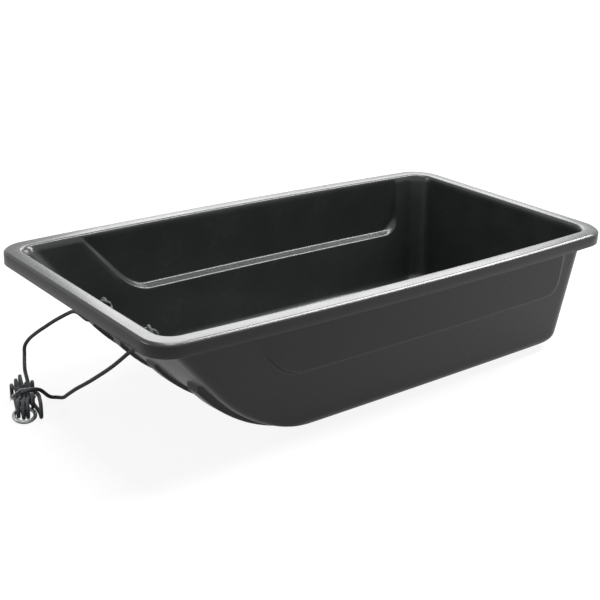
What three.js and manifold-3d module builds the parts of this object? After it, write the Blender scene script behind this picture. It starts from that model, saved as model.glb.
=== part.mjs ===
// Ice fishing sled: a one-piece moulded tub with a turned-down rim, stepped side panels and four
// runners, and its tow rope with two stopper knots, a tied hank and a steel tow ring.
// Millimetres. +X points to the towing end, +Z up. The origin is on the ground under the tub's middle.
import * as THREE from 'three';
import { mergeVertices } from 'three/addons/utils/BufferGeometryUtils.js';
import Module from 'manifold-3d';

// Tub: overall sizes
const rim_length = 932;
const rim_width = 500;
const tub_height = 233;
const wall = 4;
const side_bow = 12.5;
const floor_side_bow = 4;

// Tub: rim
const flange_side = 27;
const flange_front = 26.5;
const flange_rear = 27;
const skirt_height = 22;
const rim_corner_front = 44;
const rim_corner_rear = 53;
const mouth_corner_front = 28;
const mouth_corner_rear = 35;
const rim_edge_round = 6;

// Tub: walls and floor
const floor_height = 10;
const floor_half_width = 192.5;
const floor_corner_front = 14;
const side_fillet = 20;
const rear_fillet = 24;
const rear_floor_setback = 34;
const front_slope_deg = 48.2;
const front_curve_radius = 265;
const front_bulge = 19;

// Tub: stepped panel on each long wall
const ledge_height = 118;
const ledge_rise = 9;
const panel_depth = 11;
const panel_corner = 33;
const panel_front_setback = 109;
const panel_rear_setback = 59;

// Tub: runners under the floor
const runner_count = 4;
const runner_pitch = 98;
const runner_width = 26.5;
const runner_nose_height = 117;
const runner_inner_nose_drop = 7.5;
const runner_outer_nose_drop = 11;
const runner_tail_setback = 26;
const runner_tail_slope = 10;

// Tub: rope holes through the front slope
const hole_diameter = 8;
const hole_spacing = 132;
const hole_height = 154;

// Rope and stopper knots
const rope_diameter = 6;
const seat_gap = 0.3;
const knot_ring_radius = 7;
const knot_strand_rise = 3.4;
const knot_seat = 18;
const knot_entry = 0.75;
const knot_rounds = 2;
const knot_waves = 3;

// Routes of the two free stretches, from below the holes to the hank
const left_route = [
  [393.6, -67.4, 151], [396, -72.5, 149.6], [396.6, -80, 149.8], [396.6, -91, 151],
  [396.6, -104, 151.2], [397.6, -116, 148.5], [400.4, -130, 140.4], [405.2, -145, 130],
  [411.6, -160, 118.4], [418.3, -172, 107.6], [425.6, -190, 92.3], [431.6, -208, 74.5],
  [435.4, -213.6, 62.4], [440, -206, 51.4],
];
const right_route = [
  [393.2, 64, 150.6], [396.1, 55, 144.3], [398.4, 40, 130.6], [402.2, 25, 115.8],
  [406.6, 10, 101.8], [411.8, -8, 86.4], [417.6, -27, 70.6], [422.4, -42, 58.8],
  [424.4, -60, 46], [424.2, -77, 33.6], [423, -93, 22], [421.2, -106, 12.6],
  [420.2, -114.6, 7], [421, -121.8, 4], [424.8, -127.6, 3.3],
];

// Hank: its place on the ground. Points in it are told by their distance along it, to its side
// and up. Each loop is told by its ring end, its fan end and where it passes the waist, once on
// its way down to the fan end and once on its way back.
const hank_waist_x = 474;
const hank_waist_y = -147;
const hank_heading_deg = 67;
const hank_loops = 5;
const ring_end_reaches = [71, 57.5, 68, 69.3, 63];
const ring_end_sides = [-24.5, -13.6, -5.1, 1.4, 9];
const ring_end_lifts = [0, 13.2, 0, 0, 0];
const ring_end_rises = [23, 18, 23, 23, 23];
const fan_end_reaches = [35, 31, 60, 46, 28.5];
const fan_end_sides = [-16.8, -7, 1.2, 8.2, 15.6];
const fan_end_rise = 18;
const waist_down_sides = [-12.9, -6.45, 0, 6.45, 11.7];
const waist_down_heights = [5.6, 5.6, 5.6, 5.6, 10.8];
const waist_back_sides = [-16.2, -9.8, -3.3, 3.2];
const waist_back_heights = [11.6, 12.7, 11.6, 11.6];
const entry_route = [
  [-46, -6.9, 44], [-36, -6.9, 38], [-22.5, -8.7, 31], [-13, -10.2, 25.6], [-4.5, -12.2, 21],
  [2.5, -15.4, 19.4], [8.5, -19.4, 20.2], [15, -22.8, 19.8], [26, -24.3, 20.8],
];
const exit_route = [
  [-13, 13.6, 21.4], [-6, 6.4, 20], [0.5, 0.9, 19], [6, -2.6, 21.2], [10.6, -7.2, 24.8],
  [13.2, -13.4, 27.4], [14, -20.4, 28], [13.2, -27.2, 25.4], [9.6, -33.6, 18],
  [4.6, -39.4, 10], [-0.6, -45.6, 4.6],
];

// Tow ring and hank tie
const ring_outer_diameter = 38;
const ring_wire = 6;
const ring_reach = 58.6;
const ring_tilt_deg = 14;
const tie_wire = 1.6;
const tie_place = 1;
const tie_reach = 25;
const tie_clearance = 0.8;
const tie_spread = 2.6;
const tie_tail_out = 3.6;
const tie_tail_rise = 3.2;

// Shared
const overrun = 2;
const merge_distance = 1e-4;
const flat_corner_area = 0.5;
const rope_sides = 8;
const form_sides = 6;
const left_run_steps = 30;
const right_run_steps = 24;
const knot_steps = 60;
const hole_sides = 16;
const ring_sides = 10;
const ring_steps = 36;
const tie_turn_steps = 4;

const TURN = 2 * Math.PI;
const half_length = rim_length / 2;
const half_width = rim_width / 2;
const rope_radius = rope_diameter / 2;
const slope = THREE.MathUtils.degToRad(front_slope_deg);
const mix = THREE.MathUtils.lerp;
const clamp = THREE.MathUtils.clamp;

const wasm = await Module();
wasm.setup();

function finish(color, roughness, metalness) {
  return new THREE.MeshStandardMaterial({ color, roughness, metalness });
}

function toManifold(geometry) {
  const bare = geometry.clone();
  bare.deleteAttribute('normal');
  bare.deleteAttribute('uv');
  const merged = mergeVertices(bare, merge_distance);
  const mesh = new wasm.Mesh({
    numProp: 3,
    vertProperties: new Float32Array(merged.attributes.position.array),
    triVerts: new Uint32Array(merged.index.array),
  });
  return new wasm.Manifold(mesh);
}

function fromManifold(solid) {
  const mesh = solid.getMesh();
  const geometry = new THREE.BufferGeometry();
  geometry.setAttribute('position', new THREE.Float32BufferAttribute(mesh.vertProperties, 3));
  geometry.setIndex(new THREE.Uint32BufferAttribute(mesh.triVerts, 1));
  geometry.computeVertexNormals();
  return geometry;
}

function indexedGeometry(positions, faces) {
  const geometry = new THREE.BufferGeometry();
  geometry.setAttribute('position', new THREE.Float32BufferAttribute(positions, 3));
  geometry.setIndex(faces);
  geometry.computeVertexNormals();
  return geometry;
}

// Side profile of the front: a straight slope that an arc joins to the floor.
// The inner face is the same curve set in by the wall.
function frontProfile(inside) {
  const offset = inside ? wall : 0;
  const floor = floor_height + offset;
  const radius = front_curve_radius - offset;
  const topX = half_length - flange_front + (wall - offset) / Math.sin(slope);
  const tangentZ = floor + radius * (1 - Math.cos(slope));
  const tangentX = topX - (tub_height - tangentZ) / Math.tan(slope);
  return { floor, radius, topX, tangentZ, centreX: tangentX - radius * Math.sin(slope) };
}

function frontX(z, inside) {
  const p = frontProfile(inside);
  if (z >= p.tangentZ) {
    return p.topX - (tub_height - z) / Math.tan(slope);
  }
  const below = p.radius - Math.max(z - p.floor, 0);
  return p.centreX + Math.sqrt(p.radius ** 2 - below ** 2);
}

// How far the front stands proud in its middle: nothing at the rim and at the floor
function bulgeAt(z) {
  const share = clamp((tub_height - z) / (tub_height - floor_height), 0, 1);
  return 4 * front_bulge * share * (1 - share);
}

// How far a rounded bottom edge draws the wall in at height z
function filletInset(z, floor, radius) {
  const below = radius - (z - floor);
  return below > 0 ? radius - Math.sqrt(radius ** 2 - Math.min(below, radius) ** 2) : 0;
}

// Sizes of the body's level section at height z
function section(z, inside) {
  const offset = inside ? wall : 0;
  const floor = floor_height + offset;
  const share = clamp((z - floor_height) / (tub_height - floor_height), 0, 1);
  const topHalfWidth = half_width - flange_side + wall;
  const rearTop = half_length - flange_rear + wall;
  const rearFloor = half_length - rear_floor_setback;
  return {
    z,
    front: frontX(z, inside),
    bulge: bulgeAt(z),
    rear: mix(rearFloor, rearTop, share) - offset - filletInset(z, floor, rear_fillet - offset),
    side: mix(floor_half_width, topHalfWidth, share) - offset
      - filletInset(z, floor, side_fillet - offset),
    bow: mix(floor_side_bow, side_bow, share),
    cornerFront: mix(floor_corner_front, mouth_corner_front + wall, share) - offset,
    cornerRear: mouth_corner_rear + wall - offset,
  };
}

function sideY(s, x) {
  return s.side - s.bow * (x / half_length) ** 2;
}

function frontFaceX(s, y) {
  return s.front + s.bulge * (1 - (y / sideY(s, s.front)) ** 2);
}

// The panel's front and rear edges follow the slope and the rear wall
function panelFront(z) {
  return frontX(z, false) - panel_front_setback;
}

function panelRear(z) {
  const share = (z - floor_height) / (tub_height - floor_height);
  return panel_rear_setback - mix(half_length - rear_floor_setback, half_length - flange_rear, share);
}

// The panel's step at a point of the long wall: full above its ledge, nothing at the rim
function panelStep(z, x) {
  const up = z - ledge_height;
  const along = Math.min(panelFront(z) - x, x - panelRear(z));
  if (up <= 0 || along <= 0) {
    return 0;
  }
  const nearCorner = along < panel_corner && up < panel_corner;
  const depth = nearCorner
    ? panel_corner - Math.hypot(panel_corner - along, panel_corner - up)
    : Math.min(along, up);
  const fade = (tub_height - z) / (tub_height - ledge_height - ledge_rise);
  return panel_depth * Math.min(fade, 1) * clamp(depth / ledge_rise, 0, 1);
}

// Places along the long wall, from its front corner to its rear corner
const panel_corner_shares = [0, 0.27, 0.6, 1];
const bare_wall_shares = [0.33, 0.66];
const panel_middle_shares = [0.2, 0.4, 0.6, 0.8];

function sidePlaces(z, start, end) {
  const first = Math.min(panelFront(z), start - wall);
  const last = Math.max(panelRear(z), end + wall);
  const places = [start];
  bare_wall_shares.forEach((share) => places.push(mix(start, first, share)));
  panel_corner_shares.forEach((share) => places.push(first - share * panel_corner));
  const middleStart = first - panel_corner;
  const middleEnd = last + panel_corner;
  panel_middle_shares.forEach((share) => places.push(mix(middleStart, middleEnd, share)));
  [...panel_corner_shares].reverse().forEach((share) => places.push(last + share * panel_corner));
  places.push(end);
  return places;
}

const front_edge_shares = [0, 0.3, 0.6, 0.85];
const rear_edge_shares = [0.8, 0.4, 0];
const corner_steps = 4;

// Half of a level ring, from the middle of the front round the +Y side to the middle of the rear
function halfRing(size, faceX, wallY) {
  const frontY = wallY(size.front) - size.cornerFront;
  const frontCentreX = faceX(frontY) - size.cornerFront;
  const frontSideY = wallY(frontCentreX);
  const rearCentreX = size.cornerRear - size.rear;
  const rearSideY = wallY(rearCentreX);
  const ring = front_edge_shares.map((share) => [faceX(share * frontY), share * frontY]);
  const arc = (centreX, centreY, radius, first) => {
    for (let i = 0; i <= corner_steps; i += 1) {
      const a = (first + i / corner_steps) * TURN / 4;
      ring.push([centreX + radius * Math.cos(a), centreY + radius * Math.sin(a)]);
    }
  };
  arc(frontCentreX, frontSideY - size.cornerFront, size.cornerFront, 0);
  const places = size.places(frontCentreX, rearCentreX);
  places.slice(1, -1).forEach((x) => ring.push([x, wallY(x) + size.step(x)]));
  arc(rearCentreX, rearSideY - size.cornerRear, size.cornerRear, 1);
  const rearY = rearSideY - size.cornerRear;
  rear_edge_shares.forEach((share) => ring.push([-size.rear, share * rearY]));
  return ring;
}

function fullRing(half, z) {
  const mirrored = half.slice(1, -1).reverse().map(([x, y]) => [x, -y]);
  return [...half, ...mirrored].map(([x, y]) => [x, y, z]);
}

function bodyRing(z, inside) {
  const s = section(z, inside);
  const places = (start, end) => sidePlaces(z, start, end);
  const step = (x) => panelStep(z, x);
  const size = { ...s, places, step };
  return fullRing(halfRing(size, (y) => frontFaceX(s, y), (x) => sideY(s, x)), z);
}

// The rim's outline drawn in by a distance, with the corners that follow from it
function rimRing(inset, z) {
  const share = clamp(inset / flange_side, 0, 1);
  const front = half_length - inset * flange_front / flange_side;
  const top = section(tub_height, true);
  const along = sidePlaces(tub_height, top.front - top.cornerFront, top.cornerRear - top.rear);
  const span = along[0] - along[along.length - 1];
  const size = {
    front,
    rear: half_length - inset * flange_rear / flange_side,
    cornerFront: mix(rim_corner_front, mouth_corner_front, share),
    cornerRear: mix(rim_corner_rear, mouth_corner_rear, share),
    places: (start, end) => along.map((x) => mix(start, end, (along[0] - x) / span)),
    step: () => 0,
  };
  const wallY = (x) => half_width - inset - side_bow * (x / half_length) ** 2;
  return fullRing(halfRing(size, () => front, wallY), z);
}

// Heights of the body's rings: steps round the front's arc, then the panel's step and the wall
const arc_shares = [0, 0.17, 0.34, 0.5, 0.67, 0.84, 1];
const upper_wall_shares = [0.25, 0.5, 0.75];

function ringHeights(inside) {
  const p = frontProfile(inside);
  const arc = arc_shares.map((share) => p.floor + p.radius * (1 - Math.cos(share * slope)));
  const panel = panel_corner_shares.map((share) => ledge_height + share * panel_corner);
  const below = arc.filter((z) => z < ledge_height - overrun);
  const upper = upper_wall_shares.map((share) => mix(panel[panel.length - 1], tub_height - wall, share));
  return [...below, ...panel, ...upper];
}

function tubShell() {
  const soft = rim_edge_round * (1 - Math.SQRT1_2);
  const rings = [
    ...ringHeights(false).map((z) => bodyRing(z, false)),
    bodyRing(tub_height - wall, false),
    rimRing(wall, tub_height - wall),
    rimRing(wall, tub_height - skirt_height),
    rimRing(0, tub_height - skirt_height),
    rimRing(0, tub_height - rim_edge_round),
    rimRing(soft, tub_height - soft),
    rimRing(rim_edge_round, tub_height),
    rimRing(flange_side - rim_edge_round, tub_height),
    rimRing(flange_side - soft, tub_height - soft),
    bodyRing(tub_height - rim_edge_round, true),
    ...ringHeights(true).reverse().map((z) => bodyRing(z, true)),
  ];
  const count = rings[0].length;
  const faces = [];
  for (let i = 0; i < rings.length - 1; i += 1) {
    for (let j = 0; j < count; j += 1) {
      const a = i * count + j;
      const b = i * count + (j + 1) % count;
      faces.push(a, b, b + count, a, b + count, a + count);
    }
  }
  const cap = (ring, first, flip) => {
    const outline = ring.map(([x, y]) => new THREE.Vector2(x, y));
    THREE.ShapeUtils.triangulateShape(outline, []).forEach(([a, b, c]) => {
      faces.push(first + a, first + (flip ? c : b), first + (flip ? b : c));
    });
  };
  cap(rings[0], 0, true);
  cap(rings[rings.length - 1], (rings.length - 1) * count, false);
  return indexedGeometry(rings.flat(2), faces);
}

// Runners: hollow ribs under the front curve and the floor, each a side outline given its width
const runner_steps = 7;

// A point of the outer underside at a share of the way from the runner's nose to the floor,
// moved into the wall by a distance square to the surface
function undersidePoint(share, y, inward) {
  const p = frontProfile(false);
  const start = Math.acos(1 - (Math.min(runner_nose_height, p.tangentZ) - p.floor) / p.radius);
  const angle = start * (1 - share);
  const z = share === 0 ? runner_nose_height : p.floor + p.radius * (1 - Math.cos(angle));
  const x = frontFaceX(section(z, false), y);
  return new THREE.Vector2(x - inward * Math.sin(angle), z + inward * Math.cos(angle));
}

function runnerOutline(y, crestInward, rootInward, shorter) {
  const outer = Math.abs(y) > runner_pitch;
  const noseDrop = outer ? runner_outer_nose_drop : runner_inner_nose_drop;
  const crest = [];
  const root = [];
  for (let i = 0; i <= runner_steps; i += 1) {
    const share = i / runner_steps;
    const drop = mix(noseDrop, floor_height, share);
    crest.push(undersidePoint(share, y, crestInward).sub(new THREE.Vector2(0, drop)));
    root.push(undersidePoint(share, y, rootInward));
  }
  const shift = new THREE.Vector2(shorter, shorter * Math.tan(slope));
  root[0].sub(shift);
  crest[0].x = root[0].x;
  crest[0].y = root[0].y - noseDrop - rootInward / Math.cos(slope) + crestInward;
  const tailX = rear_floor_setback + runner_tail_setback - half_length + shorter;
  const tail = [
    new THREE.Vector2(tailX + runner_tail_slope, crest[runner_steps].y),
    new THREE.Vector2(tailX, root[runner_steps].y),
  ];
  return [...crest, ...tail, ...root.reverse()];
}

function runnerBlock(y, width, outline) {
  const shape = new THREE.Shape(outline);
  const geometry = new THREE.ExtrudeGeometry(shape, { depth: width, bevelEnabled: false });
  geometry.rotateX(TURN / 4);
  geometry.translate(0, y + width / 2, 0);
  return toManifold(geometry);
}

// The rope holes lie square to the front face, which is told from its lean either way
function frontOut(side) {
  const y = side * hole_spacing / 2;
  const at = (dy, dz) => frontFaceX(section(hole_height + dz, false), y + dy);
  const lean = (at(0, wall) - at(0, -wall)) / (2 * wall);
  const sweep = (at(wall, 0) - at(-wall, 0)) / (2 * wall);
  return new THREE.Vector3(1, -sweep, -lean).normalize();
}

function holePoint(side, inward) {
  const y = side * hole_spacing / 2;
  const point = new THREE.Vector3(frontFaceX(section(hole_height, false), y), y, hole_height);
  return point.addScaledVector(frontOut(side), -inward);
}

// Thickness of the front wall along the hole
function frontWall(side) {
  return (frontX(hole_height, false) - frontX(hole_height, true)) * frontOut(side).x;
}

function holeCutter(side) {
  const radius = hole_diameter / 2;
  const length = 2 * (wall + overrun);
  const geometry = new THREE.CylinderGeometry(radius, radius, length, hole_sides);
  const up = new THREE.Vector3(0, 1, 0);
  geometry.applyQuaternion(new THREE.Quaternion().setFromUnitVectors(up, frontOut(side)));
  geometry.translate(...holePoint(side, wall / 2));
  return toManifold(geometry);
}

function buildTub() {
  let tub = toManifold(tubShell());
  const lanes = [];
  for (let i = 0; i < runner_count; i += 1) {
    lanes.push((i - (runner_count - 1) / 2) * runner_pitch);
  }
  lanes.forEach((y) => {
    tub = tub.add(runnerBlock(y, runner_width, runnerOutline(y, 0, wall / 2, 0)));
  });
  lanes.forEach((y) => {
    const groove = runnerOutline(y, wall, wall + overrun, wall);
    tub = tub.subtract(runnerBlock(y, runner_width - 2 * wall, groove));
  });
  [1, -1].forEach((side) => {
    tub = tub.subtract(holeCutter(side));
  });
  return fromManifold(tub);
}

// One unbroken tube through a row of points, its section carried along without twist; where a
// closed one comes back turned, that turn is spread evenly along it
function tubeThrough(points, radius, closed) {
  const sides = form_sides;
  const count = points.length;
  const next = (i) => (closed ? (i + 1) % count : Math.min(i + 1, count - 1));
  const before = (i) => (closed ? (i - 1 + count) % count : Math.max(i - 1, 0));
  const positions = [];
  const faces = [];
  const tangents = points.map((p, i) => points[next(i)].clone().sub(points[before(i)]).normalize());
  const squared = (normal, tangent) => (
    normal.clone().addScaledVector(tangent, -normal.dot(tangent)).normalize()
  );
  const normals = [squared(new THREE.Vector3(0, 0, 1), tangents[0])];
  tangents.slice(1).forEach((tangent, i) => normals.push(squared(normals[i], tangent)));
  const acrosses = normals.map((n, i) => new THREE.Vector3().crossVectors(tangents[i], n));
  const back = squared(normals[count - 1], tangents[0]);
  const twist = closed ? Math.atan2(back.dot(acrosses[0]), back.dot(normals[0])) : 0;
  for (let i = 0; i < count; i += 1) {
    for (let k = 0; k < sides; k += 1) {
      const a = (k / sides) * TURN - (i / count) * twist;
      const p = points[i].clone().addScaledVector(normals[i], radius * Math.cos(a));
      positions.push(...p.addScaledVector(acrosses[i], radius * Math.sin(a)));
    }
  }
  for (let i = 0; i < (closed ? count : count - 1); i += 1) {
    for (let k = 0; k < sides; k += 1) {
      const a = i * sides + k;
      const b = i * sides + (k + 1) % sides;
      const c = next(i) * sides + (k + 1) % sides;
      const d = next(i) * sides + k;
      faces.push(a, b, c, a, c, d);
    }
  }
  if (!closed) {
    const last = (count - 1) * sides;
    for (let k = 1; k < sides - 1; k += 1) {
      faces.push(0, k + 1, k, last, last + k, last + k + 1);
    }
  }
  return indexedGeometry(positions, faces);
}

function ropeAlong(points, steps) {
  const circle = new THREE.Shape();
  circle.absarc(0, 0, rope_radius, 0, TURN, false);
  const extrudePath = new THREE.CatmullRomCurve3(points, false, 'centripetal');
  const options = { extrudePath, steps, curveSegments: rope_sides / 2 };
  return new THREE.ExtrudeGeometry(circle, options);
}

// Least gap between stretches of one tube that are not neighbours along it
function leastGap(points, diameter) {
  const reach = [0];
  for (let i = 1; i < points.length; i += 1) {
    reach.push(reach[i - 1] + points[i].distanceTo(points[i - 1]));
  }
  let least = Infinity;
  let where = '';
  for (let i = 0; i < points.length; i += 1) {
    for (let j = i + 1; j < points.length; j += 1) {
      const gap = points[i].distanceTo(points[j]) - diameter;
      if (reach[j] - reach[i] > 3 * diameter && gap < least) {
        least = gap;
        where = `${i} and ${j}`;
      }
    }
  }
  return { least, where, length: reach[reach.length - 1] };
}

const heading = THREE.MathUtils.degToRad(hank_heading_deg);
const hankAlong = new THREE.Vector3(Math.cos(heading), Math.sin(heading), 0);
const hankAcross = new THREE.Vector3(Math.sin(heading), -Math.cos(heading), 0);
const rope_rest = rope_radius + seat_gap / 2;

function hankPoint([along, across, height]) {
  return new THREE.Vector3(hank_waist_x, hank_waist_y, 0)
    .addScaledVector(hankAlong, along)
    .addScaledVector(hankAcross, across)
    .setZ(height);
}

// A half turn at one end of a loop, from one height to another
const fold_steps = 6;
const run_steps = 6;

function fold(place, facing, fromHeight, toHeight) {
  const radius = Math.abs(toHeight - fromHeight) / 2;
  const points = [];
  for (let i = 0; i <= fold_steps; i += 1) {
    const a = (i / fold_steps) * TURN / 2;
    const along = place.reach - radius + radius * Math.sin(a);
    const height = mix(fromHeight, toHeight, (1 - Math.cos(a)) / 2);
    points.push([facing * along, place.side, height]);
  }
  return points;
}

// A run between two places, drawn in or let out as it goes
function run(from, to) {
  const points = [];
  for (let i = 1; i < run_steps; i += 1) {
    const t = i / run_steps;
    const k = t * t * (3 - 2 * t);
    points.push([mix(from[0], to[0], t), mix(from[1], to[1], k), mix(from[2], to[2], k)]);
  }
  return points;
}

function hankPlaces() {
  const places = [...entry_route];
  const joinTo = (target) => places.push(...run(places[places.length - 1], target), target);
  for (let page = 0; page < hank_loops; page += 1) {
    const low = rope_rest + ring_end_lifts[page];
    const ringEnd = { reach: ring_end_reaches[page], side: ring_end_sides[page] };
    const fanEnd = { reach: fan_end_reaches[page], side: fan_end_sides[page] };
    const down = fold(ringEnd, 1, low + ring_end_rises[page], low);
    const up = fold(fanEnd, -1, rope_rest, rope_rest + fan_end_rise);
    joinTo(down[0]);
    places.push(...down.slice(1));
    joinTo([0, waist_down_sides[page], waist_down_heights[page]]);
    joinTo(up[0]);
    places.push(...up.slice(1));
    if (page < hank_loops - 1) {
      joinTo([0, waist_back_sides[page], waist_back_heights[page]]);
    }
  }
  places.push(...exit_route);
  return places;
}

const places = hankPlaces();
const hankLine = places.map(hankPoint);
const hankEnd = hankLine[hankLine.length - 1];
const entryLead = hankLine[0].clone().sub(hankLine[1]).normalize();
const exitLead = hankEnd.clone().sub(hankLine[hankLine.length - 2]).normalize();

// A stopper knot: the rope goes twice round a ring and weaves three times under and over itself
function knotLine(side) {
  const centre = holePoint(side, frontWall(side) + knot_seat + rope_radius + knot_strand_rise);
  const turn = new THREE.Quaternion().setFromUnitVectors(new THREE.Vector3(0, 0, 1), frontOut(side));
  const points = [];
  for (let i = 0; i < knot_steps; i += 1) {
    const a = (i / knot_steps) * knot_rounds * TURN;
    const wave = a * knot_waves / knot_rounds;
    const radius = knot_ring_radius + knot_strand_rise * Math.cos(wave);
    const height = knot_strand_rise * Math.sin(wave);
    const point = new THREE.Vector3(radius * Math.cos(a), radius * Math.sin(a), height);
    points.push(point.applyQuaternion(turn).add(centre));
  }
  return points;
}

function runLine(side, route, lead, end) {
  const start = holePoint(side, frontWall(side) + knot_seat + knot_entry);
  const close = end.clone().addScaledVector(lead, seat_gap);
  const straight = end.clone().addScaledVector(lead, rope_diameter + seat_gap);
  return [start, holePoint(side, 0), ...route.map((p) => new THREE.Vector3(...p)), straight, close];
}

// The corners of the smallest outline round a set of points, anticlockwise; a corner that is
// nearly straight is left out
function hullOf(points) {
  const sorted = [...points].sort((a, b) => a[0] - b[0] || a[1] - b[1]);
  const turns = (o, a, b) => (a[0] - o[0]) * (b[1] - o[1]) - (a[1] - o[1]) * (b[0] - o[0]);
  const chain = (list) => {
    const kept = [];
    list.forEach((p) => {
      while (
        kept.length > 1 && turns(kept[kept.length - 2], kept[kept.length - 1], p) < flat_corner_area
      ) {
        kept.pop();
      }
      kept.push(p);
    });
    return kept.slice(0, -1);
  };
  return [...chain(sorted), ...chain(sorted.reverse())];
}

// The tie goes once round all the strands that cross it near the waist, at a fixed distance
function tieLine() {
  const strands = [];
  for (let i = 1; i < places.length; i += 1) {
    const [a, b] = [places[i - 1], places[i]];
    if ((a[0] - tie_place) * (b[0] - tie_place) < 0) {
      const t = (tie_place - a[0]) / (b[0] - a[0]);
      strands.push([mix(a[1], b[1], t), mix(a[2], b[2], t)]);
    }
  }
  const hull = hullOf(strands.filter(([side]) => Math.abs(side) < tie_reach));
  const distance = rope_radius + tie_clearance + tie_wire / 2;
  const loop = [];
  hull.forEach((corner, i) => {
    const before = hull[(i + hull.length - 1) % hull.length];
    const after = hull[(i + 1) % hull.length];
    const first = Math.atan2(before[0] - corner[0], corner[1] - before[1]);
    let last = Math.atan2(corner[0] - after[0], after[1] - corner[1]);
    last += last < first ? TURN : 0;
    for (let k = 0; k <= tie_turn_steps; k += 1) {
      const a = mix(first, last, k / tie_turn_steps);
      loop.push([corner[0] + distance * Math.cos(a), corner[1] + distance * Math.sin(a)]);
    }
  });
  const score = ([side, height]) => side - height / 2;
  const start = loop.reduce((best, p, i) => (score(p) > score(loop[best]) ? i : best), 0);
  const round = [...loop.slice(start), ...loop.slice(0, start)];
  const head = round[0];
  const foot = round[round.length - 1];
  const line = [
    [head[0] + tie_tail_out, head[1] - tie_tail_rise], ...round,
    [foot[0] + tie_tail_out, foot[1] + tie_tail_rise],
  ];
  return line.map(([across, height], i) => {
    const along = tie_place + tie_spread * (i / (line.length - 1) - 0.5);
    return hankPoint([along, across, height]);
  });
}

// The tow ring rests on the ground at its far side; its near side lies over the loops' lower runs
function buildRing() {
  const tilt = THREE.MathUtils.degToRad(ring_tilt_deg);
  const radius = (ring_outer_diameter - ring_wire) / 2;
  const height = ring_wire / 2 + seat_gap / 4 + radius * Math.sin(tilt);
  const geometry = new THREE.TorusGeometry(radius, ring_wire / 2, ring_sides, ring_steps);
  geometry.rotateY(tilt);
  geometry.rotateZ(heading);
  geometry.translate(...hankPoint([ring_reach, 0, height]));
  return geometry;
}

const object = new THREE.Group();
object.name = 'ice_fishing_sled';

function addPiece(name, geometry, material) {
  const mesh = new THREE.Mesh(geometry, material);
  mesh.name = name;
  object.add(mesh);
}

const ropeFinish = () => finish(0x36383a, 0.85, 0);
const leftLine = runLine(-1, left_route, entryLead, hankLine[0]);
const rightLine = runLine(1, right_route, exitLead, hankEnd);
addPiece('sled_tub', buildTub(), finish(0x1e201f, 0.5, 0));
addPiece('tow_rope_left', ropeAlong(leftLine, left_run_steps), ropeFinish());
addPiece('tow_rope_right', ropeAlong(rightLine, right_run_steps), ropeFinish());
addPiece('tow_rope_hank', tubeThrough(hankLine, rope_radius, false), ropeFinish());
addPiece('left_knot', tubeThrough(knotLine(-1), rope_radius, true), ropeFinish());
addPiece('right_knot', tubeThrough(knotLine(1), rope_radius, true), ropeFinish());
addPiece('tow_ring', buildRing(), finish(0x8d9091, 0.4, 1));
addPiece('hank_tie', tubeThrough(tieLine(), tie_wire / 2, false), finish(0xcfd1d0, 0.45, 0));

const gap = leastGap(hankLine, rope_diameter);
console.log(`hank: least gap to itself ${gap.least.toFixed(2)} mm (${gap.where}),`
  + ` length ${gap.length.toFixed(0)} mm`);

export default object;
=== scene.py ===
"""Ice fishing sled: a moulded tub on four runners with its tow rope tied in a hank."""

import bpy
import numpy as np
from bpy.props import FloatProperty, FloatVectorProperty, IntProperty, PointerProperty
from mathutils import Matrix, Vector


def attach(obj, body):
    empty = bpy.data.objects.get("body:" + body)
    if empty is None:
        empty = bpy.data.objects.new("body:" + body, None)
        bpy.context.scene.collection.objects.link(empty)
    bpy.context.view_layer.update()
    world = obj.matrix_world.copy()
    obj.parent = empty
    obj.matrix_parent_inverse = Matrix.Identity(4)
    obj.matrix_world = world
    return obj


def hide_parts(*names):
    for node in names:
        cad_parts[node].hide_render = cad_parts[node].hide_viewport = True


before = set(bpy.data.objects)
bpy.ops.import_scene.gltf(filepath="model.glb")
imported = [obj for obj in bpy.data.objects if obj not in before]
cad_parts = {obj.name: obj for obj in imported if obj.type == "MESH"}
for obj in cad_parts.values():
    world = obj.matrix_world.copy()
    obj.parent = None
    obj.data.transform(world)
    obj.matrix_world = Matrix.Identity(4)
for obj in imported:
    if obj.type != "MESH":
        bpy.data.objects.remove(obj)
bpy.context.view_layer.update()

bl_info = {
    "name": "Ice Fishing Sled",
    "version": (1, 0, 0),
    "blender": (4, 5, 0),
    "location": "3D View > Sidebar > Sled",
    "description": "Builds a moulded ice fishing sled with its tow rope, ring and stage",
    "category": "Add Mesh",
}


# Settings


def number(name, default, description, **kind):
    """A plain number, or one of the kind that the further words give."""
    return FloatProperty(name=name, default=default, description=description, **kind)


def length(name, default, description):
    """A length in metres that the sidebar shows with its unit."""
    return number(name, default, description, min=0.0, unit="LENGTH", precision=4)


def angle(name, default, description):
    """An angle in radians that the sidebar shows in degrees."""
    return number(name, default, description, subtype="ANGLE")


def colour(name, default, description):
    """A colour in linear light."""
    return FloatVectorProperty(
        name=name, default=default, subtype="COLOR", size=3, min=0.0, max=1.0,
        description=description,
    )


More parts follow.
